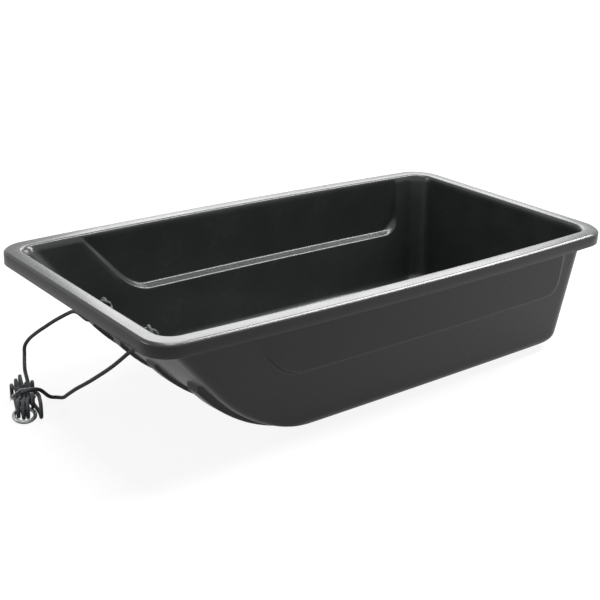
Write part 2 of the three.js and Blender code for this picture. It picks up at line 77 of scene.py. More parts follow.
class TubSettings(bpy.types.PropertyGroup):
    """Sizes and colour of the moulded tub."""

    rim_length: length("Rim length", 0.932, "Length over the rim")
    rim_width: length("Rim width", 0.5, "Greatest width over the rim")
    height: length("Height", 0.233, "Height from the runners to the rim's top")
    wall: length("Wall", 0.004, "Thickness of the moulding")
    side_bow: length("Side bow", 0.0125, "How far the long sides draw in at their ends")
    floor_bow: length("Floor bow", 0.004, "The same at the floor")
    flange_side: length("Side flange", 0.027, "Width of the rim along the long sides")
    flange_front: length("Front flange", 0.0265, "Width of the rim at the front")
    flange_rear: length("Rear flange", 0.027, "Width of the rim at the rear")
    skirt: length("Skirt", 0.022, "Height of the rim's turned-down skirt")
    edge_round: length("Edge round", 0.005, "Radius along both edges of the rim's top")
    rim_corner_front: length("Front rim corner", 0.044, "Radius in plan at the front")
    rim_corner_rear: length("Rear rim corner", 0.053, "Radius in plan at the rear")
    mouth_corner_front: length("Front mouth corner", 0.028, "Radius of the mouth at the front")
    mouth_corner_rear: length("Rear mouth corner", 0.035, "Radius of the mouth at the rear")
    floor_height: length("Floor height", 0.01, "Height of the floor's underside")
    floor_half_width: length("Floor half width", 0.1925, "Half the width at the floor")
    floor_corner: length("Floor corner", 0.014, "Radius in plan of the front's lower corners")
    side_fillet: length("Side fillet", 0.02, "Radius between the floor and the long walls")
    rear_fillet: length("Rear fillet", 0.024, "Radius between the floor and the rear wall")
    rear_setback: length("Rear setback", 0.034, "From the rim's end to the rear wall's foot")
    slope: angle("Slope", 0.84125, "Lean of the front slope")
    curve_radius: length("Curve radius", 0.265, "Radius between the floor and the slope")
    bulge: length("Bulge", 0.019, "How far the front stands proud in its middle")
    ledge_height: length("Ledge height", 0.118, "Height of the side panels' lower edge")
    ledge_rise: length("Ledge rise", 0.009, "Height that the panels' step takes")
    panel_depth: length("Panel depth", 0.011, "How far the panels stand out at their ledge")
    panel_corner: length("Panel corner", 0.033, "Radius of the panels' lower corners")
    panel_front: length("Panel front", 0.109, "From the front slope to the panels")
    panel_rear: length("Panel rear", 0.059, "From the rear wall to the panels")
    runner_pitch: length("Runner pitch", 0.098, "Distance between runners")
    runner_width: length("Runner width", 0.0265, "Width of a runner")
    runner_nose: length("Runner nose", 0.117, "Height at which the runners start")
    inner_nose_drop: length("Inner nose drop", 0.0075, "Depth of an inner runner's nose")
    outer_nose_drop: length("Outer nose drop", 0.011, "Depth of an outer runner's nose")
    runner_tail: length("Runner tail", 0.026, "From the rear wall's foot to the runners' ends")
    runner_tail_slope: length("Tail slope", 0.01, "Length of the runners' sloped ends")
    runner_round: length("Runner round", 0.0026, "Width of the rounding along a runner's edge")
    hole_diameter: length("Hole diameter", 0.008, "Diameter of the rope holes")
    hole_spacing: length("Hole spacing", 0.132, "Distance between the rope holes")
    hole_height: length("Hole height", 0.154, "Height of the rope holes")
    plastic: colour("Plastic", (0.0155, 0.0172, 0.0164), "Colour of the moulding")


class RopeSettings(bpy.types.PropertyGroup):
    """Sizes and colours of the tow rope, its ring and its tie."""

    diameter: length("Rope diameter", 0.006, "Diameter of the rope")
    plaits: IntProperty(name="Plaits", default=8, min=4, description="Strands round the braid")
    lay: length("Lay", 0.019, "Length in which a strand goes once round")
    fibre: colour("Fibre", (0.05, 0.054, 0.057), "Colour of the rope's strands")
    ring_diameter: length("Ring diameter", 0.038, "Outer diameter of the tow ring")
    ring_wire: length("Ring wire", 0.006, "Thickness of the ring's wire")
    steel: colour("Steel", (0.27, 0.275, 0.28), "Colour of the plated ring")
    tie_wire: length("Tie wire", 0.0016, "Thickness of the tie")
    tie: colour("Tie", (0.86, 0.87, 0.86), "Colour of the tie")


class StageSettings(bpy.types.PropertyGroup):
    """The floor, lamps and camera."""

    azimuth: angle("Azimuth", 2.44956, "Direction of the view, from straight ahead of the front")
    elevation: angle("Elevation", 0.37420, "Height of the view")
    roll: angle("Roll", 0.04363, "Turn of the picture")
    place: FloatVectorProperty(
        name="Place", default=(1.1529, 1.3466, 0.8158), subtype="TRANSLATION",
        description="Where the camera stands",
    )
    lens: number("Lens", 67.28, "Focal length in millimetres")
    floor_size: length("Floor size", 24.0, "Width of the floor")
    paper: colour("Paper", (0.14, 0.14, 0.14), "Colour of the floor where lamps light it")
    glow: number("Glow", 0.9, "White that the floor adds for the camera")
    floor_shine: number("Floor shine", 0.4, "White that the floor adds in reflections")
    top_light: number("Top light", 50.0, "Watts of the top lamp")
    side_light: number("Side light", 72.0, "Watts of the long lamp behind the sled's far end")
    back_light: number("Back light", 85.0, "Watts of the large lamp on the far side")
    low_light: number("Low light", 15.0, "Watts of the low lamp ahead of the sled")
    air_light: number("Air", 0.1, "Light from all round")
    air_shine: number("Air shine", 1.0, "The same as seen in reflections")


class SledSettings(bpy.types.PropertyGroup):
    """Everything that can be changed on the sled."""

    tub: PointerProperty(type=TubSettings)
    rope: PointerProperty(type=RopeSettings)
    stage: PointerProperty(type=StageSettings)


def settings():
    """The scene's sled settings."""
    return bpy.context.scene.sled


# Materials


def lit(colour, share):
    """A colour made darker or lighter by a share."""
    return tuple(min(1.0, share * c) for c in colour)


def both_ways(operation):
    """An operator's method and the one for its reflected form."""

    def forward(self, other):
        return self.math(operation, self, other)

    def reflected(self, other):
        return self.math(operation, other, self)

    return forward, reflected


class Value:
    """A socket of a finish's nodes. Arithmetic on it adds Math nodes."""

    def __init__(self, finish, socket):
        self.finish = finish
        self.socket = socket

    def math(self, operation, first, second=0.0):
        sockets = {0: first, 1: second}
        return self.finish.node("ShaderNodeMath", {"operation": operation}, sockets)

    __add__, __radd__ = both_ways("ADD")
    __sub__, __rsub__ = both_ways("SUBTRACT")
    __mul__, __rmul__ = both_ways("MULTIPLY")

    def sine(self):
        return self.math("SINE", self)

    def whole(self):
        """The value rounded down."""
        return self.math("FLOOR", self)

    def rest(self):
        """What is left over the whole number."""
        return self.math("FRACT", self)

    def over(self, other):
        """The greater of two values."""
        return self.math("MAXIMUM", self, other)


class Finish:
    """A material whose nodes are added one by one and end in a Principled shader."""

    def __init__(self, name, tree=None):
        if tree is None:
            self.material = bpy.data.materials.new(name)
            self.material.use_nodes = True
            tree = self.material.node_tree
        self.tree = tree
        self.shader = tree.nodes.get("Principled BSDF")

    def put(self, node, sockets):
        """Sets a node's sockets: a Value is linked and anything else is written in."""
        for key, value in sockets.items():
            if isinstance(value, Value):
                self.tree.links.new(value.socket, node.inputs[key])
            else:
                node.inputs[key].default_value = value

    def node(self, kind, choices=None, sockets=None, output=0):
        """Adds a node, sets its choices first and then its sockets, and returns an output."""
        node = self.tree.nodes.new(kind)
        for name, value in (choices or {}).items():
            if name == "stops":
                ramp = node.color_ramp.elements
                while len(ramp) < len(value):
                    ramp.new(0.5)
                for element, (position, shade) in zip(ramp, value):
                    element.position = position
                    element.color = (shade, shade, shade, 1.0)
            else:
                setattr(node, name, value)
        self.put(node, sockets or {})
        return Value(self, node.outputs[output])

    def done(self, sockets):
        """Sets the shader's sockets and returns the material."""
        self.put(self.shader, sockets)
        return self.material

    def place(self):
        """Object coordinates, which are metres from the sled's origin."""
        return self.node("ShaderNodeTexCoord", output="Object")

    def noise(self, where, scale, detail=2.0, roughness=0.5):
        """Cloudy values from 0 to 1, with scale cells to a metre."""
        return self.node(
            "ShaderNodeTexNoise", None,
            {"Vector": where, "Scale": scale, "Detail": detail, "Roughness": roughness},
        )

    def ramp(self, factor, *stops):
        """A value drawn from a ramp of (position, shade) stops."""
        return self.node("ShaderNodeValToRGB", {"stops": stops}, {"Fac": factor})

    def blend(self, factor, first, second):
        """A colour between two, for a factor from 0 to 1."""
        first, second = [c if isinstance(c, Value) else (*c, 1.0) for c in (first, second)]
        sockets = {0: factor, 6: first, 7: second}
        return self.node("ShaderNodeMix", {"data_type": "RGBA"}, sockets, 2)

    def bump(self, height, distance, strength=1.0):
        """A normal raised by a height from 0 to 1, distance metres at most."""
        return self.node(
            "ShaderNodeBump", None,
            {"Height": height, "Distance": distance, "Strength": strength}, "Normal",
        )


def moulded_plastic(colour):
    """Dark polyethylene: a fine orange peel, slow waves in the wall and faint cloudy scuffs."""
    finish = Finish("moulded_plastic")
    where = finish.place()
    clouds = finish.noise(where, 14.0, 3.0)
    peel = finish.noise(where, 420.0, 2.0)
    waves = finish.noise(where, 38.0, 1.0)
    grain = finish.noise(where, 1500.0, 1.0)
    return finish.done({
        "Base Color": finish.blend(clouds, colour, lit(colour, 1.5)),
        "Roughness": 0.2 + 0.06 * finish.ramp(clouds, (0.35, 0.0), (0.65, 1.0)) + 0.05 * grain,
        "Specular IOR Level": 0.5,
        "Normal": finish.bump(peel + 1.2 * waves, 0.00012, 0.5),
    })


def braided_fibre(rope):
    """Braided rope. Two families of rounded strands cross, and each goes over and under the
    other by turns. The tube's own UV map gives u, once round, and v, in lays along it from a
    cut end, whose first bit is melted smooth and paler."""
    finish = Finish("braided_fibre")
    uv = finish.node("ShaderNodeUVMap", {"uv_map": "lay"})
    u = finish.node("ShaderNodeSeparateXYZ", None, {0: uv}, 0)
    v = finish.node("ShaderNodeSeparateXYZ", None, {0: uv}, 1)
    first = (u + v) * (rope.plaits / 2)
    second = (u - v) * (rope.plaits / 2)

    def strand(across, along, sign):
        """A rounded strand, which rises and dips as it meets the other family's strands."""
        off = across.rest() - 0.5
        wave = ((along + across.whole()) * np.pi).sine()
        return (1.0 - 4.0 * off * off) * (0.6 + sign * 0.4 * wave)

    braid = strand(first, second, 1.0).over(strand(second, first, -1.0))
    melted = finish.ramp(v, (0.1, 1.0), (0.17, 0.0))
    height = braid * (1.0 - melted)
    where = finish.place()
    fuzz = finish.noise(where, 2600.0, 2.0)
    dirt = finish.noise(where, 60.0, 2.0)
    # Painted shade and painted highlight: the strands' colour is darker where the braid dips
    # between them and lighter on their crowns; the dirt noise varies it further.
    shade = finish.ramp(height + 0.3 * fuzz, (0.25, 0.0), (0.95, 1.0))
    braid_colour_painted_shade = finish.blend(shade * (0.7 + 0.5 * dirt), lit(rope.fibre, 0.2), lit(rope.fibre, 2.0))
    return finish.done({
        "Base Color": finish.blend(melted, braid_colour_painted_shade, (0.2, 0.2, 0.19)),
        "Roughness": 0.62 + 0.2 * fuzz,
        "Specular IOR Level": 0.35,
        "Normal": finish.bump(height + 0.25 * fuzz, 0.0007, 0.9),
    })


def plated_steel(colour):
    """Dull zinc plating: soft spangles, a faint drawn grain and worn bright spots."""
    finish = Finish("plated_steel")
    where = finish.place()
    spangle = finish.node(
        "ShaderNodeTexVoronoi", None, {"Vector": where, "Scale": 420.0}, "Color"
    )
    grey = finish.node("ShaderNodeRGBToBW", None, {0: spangle})
    wear = finish.noise(where, 160.0, 3.0)
    return finish.done({
        "Base Color": finish.blend(0.4 * grey + 0.6 * wear, lit(colour, 0.55), lit(colour, 1.5)),
        "Metallic": 1.0,
        "Roughness": 0.3 + 0.2 * wear,
        "Normal": finish.bump(wear + 0.4 * grey, 0.00008, 0.6),
    })


def tie_coating(colour):
    """The pale coating of the tie, with slight soiling."""
    finish = Finish("tie_coating")
    where = finish.place()
    soil = finish.noise(where, 300.0, 3.0)
    return finish.done({
        "Base Color": finish.blend(soil, lit(colour, 0.85), colour),
        "Roughness": 0.35 + 0.2 * soil,
        "Normal": finish.bump(soil, 0.00006, 0.5),
    })


# Rows of points


join = np.concatenate


def mix(a, b, share):
    """A value between two."""
    return a + (b - a) * share


def ease(share):
    """A share from 0 to 1 with a slow start and end: 3 t^2 - 2 t^3."""
    return share * share * (3 - 2 * share)


def unit(ways):
    """Directions, one or a row of them, made one long."""
    return ways / np.linalg.norm(ways, axis=-1, keepdims=True)


def sums(steps):
    """The running sum of steps, from 0."""
    return join([[0.0], np.cumsum(steps)])


def steps_along(line):
    """The distances from point to point of a line."""
    return np.linalg.norm(np.diff(line, axis=0), axis=1)


def quarter_turn(count):
    """Even angles from 0 to a right angle."""
    return np.linspace(0.0, np.pi / 2, count)


# Meshes


def make_mesh(name, surface, material, body, uv=None):
    """A smooth piece from a surface: an (n, 3) array of points and an (m, 4) array of corners.
    uv, if given, is an (m, 4, 2) array, and becomes the map named lay."""
    points, faces = surface
    mesh = bpy.data.meshes.new(name)
    mesh.from_pydata(points.tolist(), [], faces.tolist())
    mesh.polygons.foreach_set("use_smooth", np.ones(len(faces), bool))
    if uv is not None:
        layer = mesh.uv_layers.new(name="lay")
        layer.data.foreach_set("uv", uv.reshape(-1).astype(np.float32))
    mesh.materials.append(material)
    mesh.update()
    obj = bpy.data.objects.new(name, mesh)
    bpy.context.collection.objects.link(obj)
    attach(obj, body)
    return obj


def grid_faces(rows, columns, closed_rows=False, closed_columns=False):
    """Corners of the squares of a grid whose points are numbered row by row."""
    r = np.arange(rows if closed_rows else rows - 1)[:, None]
    c = np.arange(columns if closed_columns else columns - 1)[None, :]
    r_next = (r + 1) % rows
    c_next = (c + 1) % columns
    row, next_row = r * columns, r_next * columns
    corners = (row + c, row + c_next, next_row + c_next, next_row + c)
    return np.stack(np.broadcast_arrays(*corners), axis=-1).reshape(-1, 4)


# Steps for each point of a line in which a smooth curve through it is worked out
CURVE_STEPS = 24


def smooth_line(points, spacing):
    """A smooth curve through points, told at even steps.
    Between two points it is the cubic whose slopes at both are those of the circle-like
    average of the neighbouring chords, with the chords' square roots as its time."""
    points = np.asarray(points, float)
    times = sums(np.sqrt(steps_along(points)))
    span = np.diff(times)
    speed = np.diff(points, axis=0) / span[:, None]
    slopes = np.empty_like(points)
    slopes[0] = speed[0]
    slopes[-1] = speed[-1]
    weights = span[1:, None] / (span[1:] + span[:-1])[:, None]
    slopes[1:-1] = weights * speed[:-1] + (1 - weights) * speed[1:]
    fine = np.linspace(0.0, times[-1], CURVE_STEPS * len(points))
    index = np.clip(np.searchsorted(times, fine, side="right") - 1, 0, len(points) - 2)
    h = span[index][:, None]
    t = ((fine - times[index]) / span[index])[:, None]
    curve = (
        (2 * t**3 - 3 * t**2 + 1) * points[index]
        + (t**3 - 2 * t**2 + t) * h * slopes[index]
        + (3 * t**2 - 2 * t**3) * points[index + 1]
        + (t**3 - t**2) * h * slopes[index + 1]
    )
    return even_steps(curve, spacing)


def even_steps(curve, spacing):
    """The same line with its points at even steps along it."""
    reach = sums(steps_along(curve))
    count = max(2, int(round(reach[-1] / spacing)) + 1)
    at = np.linspace(0.0, reach[-1], count)
    return np.stack([np.interp(at, reach, curve[:, k]) for k in range(3)], axis=1)


def turn_free_frame(line, closed=False):
    """Two directions square to a line at each point, which follow it without turning about it.
    Any square direction is taken at each point. The angle by which the next point's is off
    from this one's, swung with the line, is added up along the line and taken back."""
    before = np.roll(line, 1, axis=0)
    after = np.roll(line, -1, axis=0)
    if not closed:
        before[0] = line[0]
        after[-1] = line[-1]
    tangent = unit(after - before)
    helper = np.eye(3)[np.argmin(np.abs(tangent), axis=1)]
    normal = unit(np.cross(tangent, helper))
    a, b = tangent[:-1], tangent[1:]
    axis = np.cross(a, b)
    cosine = np.sum(a * b, axis=1, keepdims=True)
    swung = (
        cosine * normal[:-1]
        + np.cross(axis, normal[:-1])
        + axis * np.sum(axis * normal[:-1], axis=1, keepdims=True) / (1 + cosine)
    )
    sine = np.sum(np.cross(swung, normal[1:]) * b, axis=1)
    off = np.arctan2(sine, np.sum(swung * normal[1:], axis=1))
    angle = -sums(off)[:, None]
    side = np.cross(tangent, normal)
    turned = np.cos(angle) * normal + np.sin(angle) * side
    return turned, np.cross(tangent, turned)


def tube(line, radius, sides, closed=False):
    """Points and faces of a tube: a circle of the given radius carried along the line.
    radius may be one number or one for each point. Open ends are left open."""
    normal, side = turn_free_frame(line, closed)
    angle = np.linspace(0.0, 2 * np.pi, sides, endpoint=False)[None, :, None]
    spread = np.broadcast_to(np.asarray(radius, float).reshape(-1, 1, 1), (len(line), 1, 1))
    points = line[:, None] + spread * (
        np.cos(angle) * normal[:, None] + np.sin(angle) * side[:, None]
    )
    faces = grid_faces(len(line), sides, closed, True)
    return points.reshape(-1, 3), faces


# A rope's ends are domes: the height, tip and outline's power of a dome, and how far from a
# melted end the rope is thicker and by how much, all as shares of the radius
DOME_HEIGHT = 0.45
DOME_TIP = 0.02
DOME_FULLNESS = 0.6
MELT_REACH = 0.8
MELT_SWELL = 0.12
ROPE_SIDES = 16


def rope_piece(name, line, rope, material, swell=0.0):
    """A rope along a line, with its braid's UV map and two domed ends. The first end is a
    melted one if it has a swell, which is the share by which it is thicker."""
    radius = rope.diameter / 2
    dome = np.sin(quarter_turn(6)[:-1])
    rise = DOME_HEIGHT * radius * (1 - dome)
    head = line[0] + np.outer(rise, unit(line[0] - line[1]))
    tail = (line[-1] + np.outer(rise, unit(line[-1] - line[-2])))[::-1]
    shrink = np.maximum(dome, DOME_TIP) ** DOME_FULLNESS
    shares = join([shrink, np.ones(len(line)), shrink[::-1]])
    line = join([head, line, tail])
    reach = sums(steps_along(line))
    shares *= 1 + swell * np.exp(-((reach / (MELT_REACH * radius)) ** 2))
    surface = tube(line, radius * shares, ROPE_SIDES)
    u = np.arange(ROPE_SIDES + 1) / ROPE_SIDES
    v = reach / rope.lay + (0.0 if swell else 1.0)
    grid = np.stack(np.meshgrid(u, v), axis=-1)
    uv = np.stack([grid[:-1, :-1], grid[:-1, 1:], grid[1:, 1:], grid[1:, :-1]], axis=2)
    return make_mesh(name, surface, material, "sled", uv.reshape(-1, 4, 2))


# Tub shape


def slope_x(s, z, inside):
    """Distance ahead of the middle at which the front lies at height z: a straight slope,
    joined to the floor by an arc. The inner face is set in by the wall."""
    offset = np.where(inside, s.wall, 0.0)
    radius = s.curve_radius - offset
    top = s.rim_length / 2 - s.flange_front + (s.wall - offset) / np.sin(s.slope)
    join_z = s.floor_height + offset + radius * (1 - np.cos(s.slope))
    join_x = top - (s.height - join_z) / np.tan(s.slope)
    below = radius - np.maximum(z - (s.floor_height + offset), 0.0)
    arc = join_x - radius * np.sin(s.slope) + np.sqrt(np.maximum(radius**2 - below**2, 0.0))
    return np.where(z >= join_z, top - (s.height - z) / np.tan(s.slope), arc)


def fillet_inset(z, floor, radius):
    """How far a rounded lower edge draws the wall in at height z."""
    below = np.clip(radius - (z - floor), 0.0, radius)
    return radius - np.sqrt(radius**2 - below**2)


def body_levels(s, z, inside):
    """Sizes of the body's level sections at heights z, each as a column of numbers."""
    z = np.asarray(z, float)[:, None]
    offset = s.wall if inside else 0.0
    floor = s.floor_height + offset
    share = np.clip((z - s.floor_height) / (s.height - s.floor_height), 0.0, 1.0)
    half = s.rim_length / 2
    top_width = s.rim_width / 2 - s.flange_side + s.wall
    rear = mix(half - s.rear_setback, half - s.flange_rear + s.wall, share)
    side = mix(s.floor_half_width, top_width, share)
    return {
        "z": z,
        "front": slope_x(s, z, inside),
        "bulge": 4 * s.bulge * share * (1 - share),
        "rear": rear - offset - fillet_inset(z, floor, s.rear_fillet - offset),
        "side": side - offset - fillet_inset(z, floor, s.side_fillet - offset),
        "bow": mix(s.floor_bow, s.side_bow, share),
        "corner_front": mix(s.floor_corner, s.mouth_corner_front + s.wall, share) - offset,
        "corner_rear": np.full_like(z, s.mouth_corner_rear + s.wall - offset),
        "inside": np.full_like(z, float(inside)),
        "body": np.ones_like(z),
    }


def rim_levels(s, inset, z):
    """Sizes of the rim's rings, each drawn in from its outline by an inset at a height."""
    inset = np.asarray(inset, float)[:, None]
    z = np.asarray(z, float)[:, None]
    share = np.clip(inset / s.flange_side, 0.0, 1.0)
    half = s.rim_length / 2
    zero = np.zeros_like(z)
    return {
        "z": z,
        "front": half - inset * s.flange_front / s.flange_side,
        "bulge": zero,
        "rear": half - inset * s.flange_rear / s.flange_side,
        "side": s.rim_width / 2 - inset,
        "bow": np.full_like(z, s.side_bow),
        "corner_front": mix(s.rim_corner_front, s.mouth_corner_front, share),
        "corner_rear": mix(s.rim_corner_rear, s.mouth_corner_rear, share),
        "inside": zero,
        "body": zero,
    }


def side_y(s, level, x):
    """Half width at x: the long walls are shallow parabolas."""
    return level["side"] - level["bow"] * (2 * x / s.rim_length) ** 2


def front_x(s, level, y):
    """The front face at y: a parabola that stands proud in the middle."""
    edge = side_y(s, level, level["front"])
    return level["front"] + level["bulge"] * (1 - np.minimum(np.abs(y) / edge, 1.0) ** 2)


def panel_edges(s, z):
    """Where the stepped panel starts and ends along the wall at height z."""
    half = s.rim_length / 2
    share = (z - s.floor_height) / (s.height - s.floor_height)
    front = slope_x(s, z, False) - s.panel_front
    rear = s.panel_rear - mix(half - s.rear_setback, half - s.flange_rear, share)
    return front, rear


def panel_step(s, z, x):
    """How far the wall stands out at a point: a smooth rise over the panel's rounded edge,
    which fades to nothing at the rim."""
    front, rear = panel_edges(s, z)
    up = z - s.ledge_height
    along = np.minimum(front - x, x - rear)
    r = s.panel_corner
    corner = r - np.hypot(r - along, r - up)
    depth = np.where((along < r) & (up < r), corner, np.minimum(along, up))
    rise = ease(np.clip(depth / s.ledge_rise, 0.0, 1.0))
    fade = np.clip((s.height - z) / (s.height - s.ledge_height - s.ledge_rise), 0.0, 1.0)
    return np.where((up > 0) & (along > 0), s.panel_depth * rise * fade, 0.0)


# Height within which a runner's nose comes out of the front slope
NOSE_EDGE = 0.0008


def runner_depth(s, x, y, z, inside):
    """How far a runner drops the wall at a point of the underside. Across, it is full in the
    runner and falls smoothly at its edges. Along, it starts at the nose and ends at the tail."""
    lanes = s.runner_pitch * np.array([-1.5, -0.5, 0.5, 1.5])
    off = np.min(np.abs(np.asarray(y)[..., None] - lanes), axis=-1)
    nose_drop = np.where(np.abs(y) > s.runner_pitch, s.outer_nose_drop, s.inner_nose_drop)
    half = s.runner_width / 2 - s.wall * inside
    across = ease(np.clip((half - off) / s.runner_round, 0.0, 1.0))
    nose_z = s.runner_nose - s.wall * inside * 0.5
    nose = np.clip((nose_z - z) / NOSE_EDGE, 0.0, 1.0)
    tail_x = s.rear_setback + s.runner_tail - s.rim_length / 2 + s.wall * inside
    tail = np.clip((x - tail_x) / s.runner_tail_slope, 0.0, 1.0)
    share = np.clip((z - s.floor_height) / (s.runner_nose - s.floor_height), 0.0, 1.0)
    drop = mix(s.floor_height, nose_drop, share)
    return drop * across * nose * tail


def front_columns(s):
    """Fixed places across the front, from its middle outwards: close together over each edge
    of a runner and of the groove inside it, with a few between."""
    half = s.runner_width / 2
    edge = s.runner_round * np.array([0.0, 0.3, 0.6, 1.0])
    offsets = join([half - edge, half - s.wall - edge, [0.3 * half, 0.0]])
    offsets = np.unique(np.round(join([offsets, -offsets]), 6))
    inner = s.runner_pitch / 2 + offsets
    outer = 3 * s.runner_pitch / 2 + offsets
    between = np.linspace(inner[-1], outer[0], 7)[1:-1]
    middle = np.linspace(0.0, inner[0], 4)[:-1]
    return join([middle, inner, between, outer])


# Shares of the way at which a ring has its points: from the runners to a corner, from a corner
# to a panel and over a panel's end, with the least lengths of wall before and behind a panel
OUTER_SHARES = np.array([0.22, 0.42, 0.55, 0.66, 0.75, 0.83, 0.9, 0.955, 1.0])
CORNER_SHARES = np.array([0.0, 0.045, 0.1, 0.17, 0.25, 0.34, 0.45, 0.58, 0.72, 0.87])
EDGE_SHARES = np.array([0.0, 0.05, 0.1, 0.16, 0.22, 0.3, 0.4, 0.52, 0.66, 0.82])
FRONT_ROOM = 0.06
REAR_ROOM = 0.02


def arc_reach(radius, off):
    """How far a circle reaches at some way off its middle. Before the middle it is the radius."""
    return np.sqrt(np.maximum(radius**2 - np.maximum(off, 0.0) ** 2, 0.0))


def ring_points(s, level):
    """A grid with one closed level ring per row, and its counts of points across and along.
    Each ring is four sides that meet in the middle of its corner arcs: the front and the rear,
    told by places across, and the two long sides, told by places along."""
    rf, rr = level["corner_front"], level["corner_rear"]
    front_cx = front_x(s, level, side_y(s, level, level["front"]) - rf) - rf
    front_cy = side_y(s, level, front_cx) - rf
    rear_cx = rr - level["rear"]
    rear_cy = side_y(s, level, rear_cx) - rr
    middle_of_arc = np.sqrt(0.5)
    fixed = front_columns(s)[None, :]

    def across(limit):
        rest = mix(fixed[:, -1:], limit, OUTER_SHARES[None, :])
        return join([np.broadcast_to(fixed, (len(limit), fixed.shape[1])), rest], axis=1)

    front_y = across(front_cy + rf * middle_of_arc)
    arc = arc_reach(rf, front_y - front_cy)
    front_side = np.where(front_y > front_cy, front_cx + arc, front_x(s, level, front_y))
    rear_y = across(rear_cy + rr * middle_of_arc)
    arc = arc_reach(rr, rear_y - rear_cy)
    rear_side = np.where(rear_y > rear_cy, rear_cx - arc, -level["rear"])

    start = front_cx + rf * middle_of_arc
    end = rear_cx - rr * middle_of_arc
    panel_z = np.where(level["body"] > 0, level["z"], s.height)
    first, last = panel_edges(s, panel_z)
    first = np.minimum(first, start - FRONT_ROOM)
    last = np.maximum(last, end + REAR_ROOM)
    corner = s.panel_corner
    pieces = [
        mix(start, first, CORNER_SHARES[None, :]),
        mix(first, first - corner, EDGE_SHARES[None, :]),
        mix(first - corner, last + corner, np.linspace(0.0, 1.0, 15)[None, :-1]),
        mix(last, last + corner, np.append(EDGE_SHARES, 1.0)[None, ::-1]),
        mix(end, last, np.append(CORNER_SHARES, 1.0)[None, ::-1][:, 1:]),
    ]
    along = join([np.broadcast_to(p, (len(start), p.shape[1])) for p in pieces], axis=1)
    long_side = side_y(s, level, along) + level["body"] * panel_step(s, level["z"], along)
    front_arc = front_cy + arc_reach(rf, along - front_cx)
    rear_arc = rear_cy + arc_reach(rr, rear_cx - along)
    long_side = np.where(along > front_cx, front_arc, long_side)
    long_side = np.where(along < rear_cx, rear_arc, long_side)

    def around(front, long, rear, sign):
        """Anticlockwise from above: front from right to left, left side, rear, right side."""
        return join(
            [sign * front[:, :0:-1], front[:, :-1], long[:, :-1],
             rear[:, :0:-1], sign * rear[:, :-1], sign * long[:, :0:-1]], axis=1
        )

    x = around(front_side, along, rear_side, 1)
    y = around(front_y, long_side, rear_y, -1)
    z = np.broadcast_to(level["z"], x.shape)
    z = z - level["body"] * runner_depth(s, x, y, z, level["inside"])
    return np.stack([x, y, z], axis=-1), (2 * front_y.shape[1] - 1, along.shape[1])


def floor_patch(s, ring, counts, inside):
    """Points of a floor inside its ring, blended from the ring's four sides: the sum of what
    the two pairs of sides give, less what their corners give."""
    across, along = counts
    front = ring[:across]
    left = ring[across - 1 : across + along - 1]
    rear = ring[across + along - 2 : 2 * across + along - 2][::-1]
    right = join([ring[2 * across + along - 3 :], ring[:1]])[::-1]
    t = ((left[0, 0] - left[:, 0]) / (left[0, 0] - left[-1, 0]))[:, None, None]
    u = ((front[:, 1] - front[0, 1]) / (front[-1, 1] - front[0, 1]))[None, :, None]
    patch = (
        (1 - t) * front[None, :] + t * rear[None, :]
        + (1 - u) * right[:, None] + u * left[:, None]
        - (1 - t) * (1 - u) * front[0] - (1 - t) * u * front[-1]
        - t * (1 - u) * rear[0] - t * u * rear[-1]
    )
    z = np.full(patch.shape[:2], s.floor_height + (s.wall if inside else 0.0))
    patch[..., 2] = z - runner_depth(s, patch[..., 0], patch[..., 1], z, float(inside))
    return patch


# The narrow flat on the rim's outer edge: its lean, its length and how softly it ends
FLAT_LEAN = np.radians(36)
FLAT_LENGTH = 0.55
FLAT_SPREAD = 0.07


def rolled_edge(radius):
    """The rim's outer edge from its side to its top, as distances in and down. It turns through
    a quarter circle, and stays longest at the lean of its narrow flat. Each step goes along the
    lean at its middle, and the sums are scaled to the radius."""
    lean = np.radians([90, 78, 66, 56, 48, 42, 39, 33, 29, 22, 14, 7, 0])
    middle = (lean[1:] + lean[:-1]) / 2
    off = (middle - FLAT_LEAN) / FLAT_SPREAD
    step = lean[:-1] - lean[1:] + FLAT_LENGTH * np.exp(-off * off)
    inward, upward = sums(step * np.cos(middle)), sums(step * np.sin(middle))
    return radius * inward / inward[-1], radius * (1 - upward / upward[-1])


# Heights in metres at which the body has its rings: up the outer wall over its lower rounding,
# up a panel from its ledge, and up the inner wall. NIP rounds the rim's lower edges.
OUTER_RISE = np.array([24, 29, 35, 42, 50, 59, 69, 80, 91, 100, 104.5, 106.1, 106.9, 107.4]) / 1000
PANEL_RISE = np.array(
    [0, 1, 2, 3.2, 4.5, 5.8, 7, 8, 9, 11, 14, 18, 24, 33, 46, 60, 75, 90, 101]) / 1000
INNER_RISE = np.array([20, 25, 31, 38, 46, 55, 65, 76, 87, 96, 99.5, 101, 101.5, 102.6]) / 1000
NIP = 0.0008


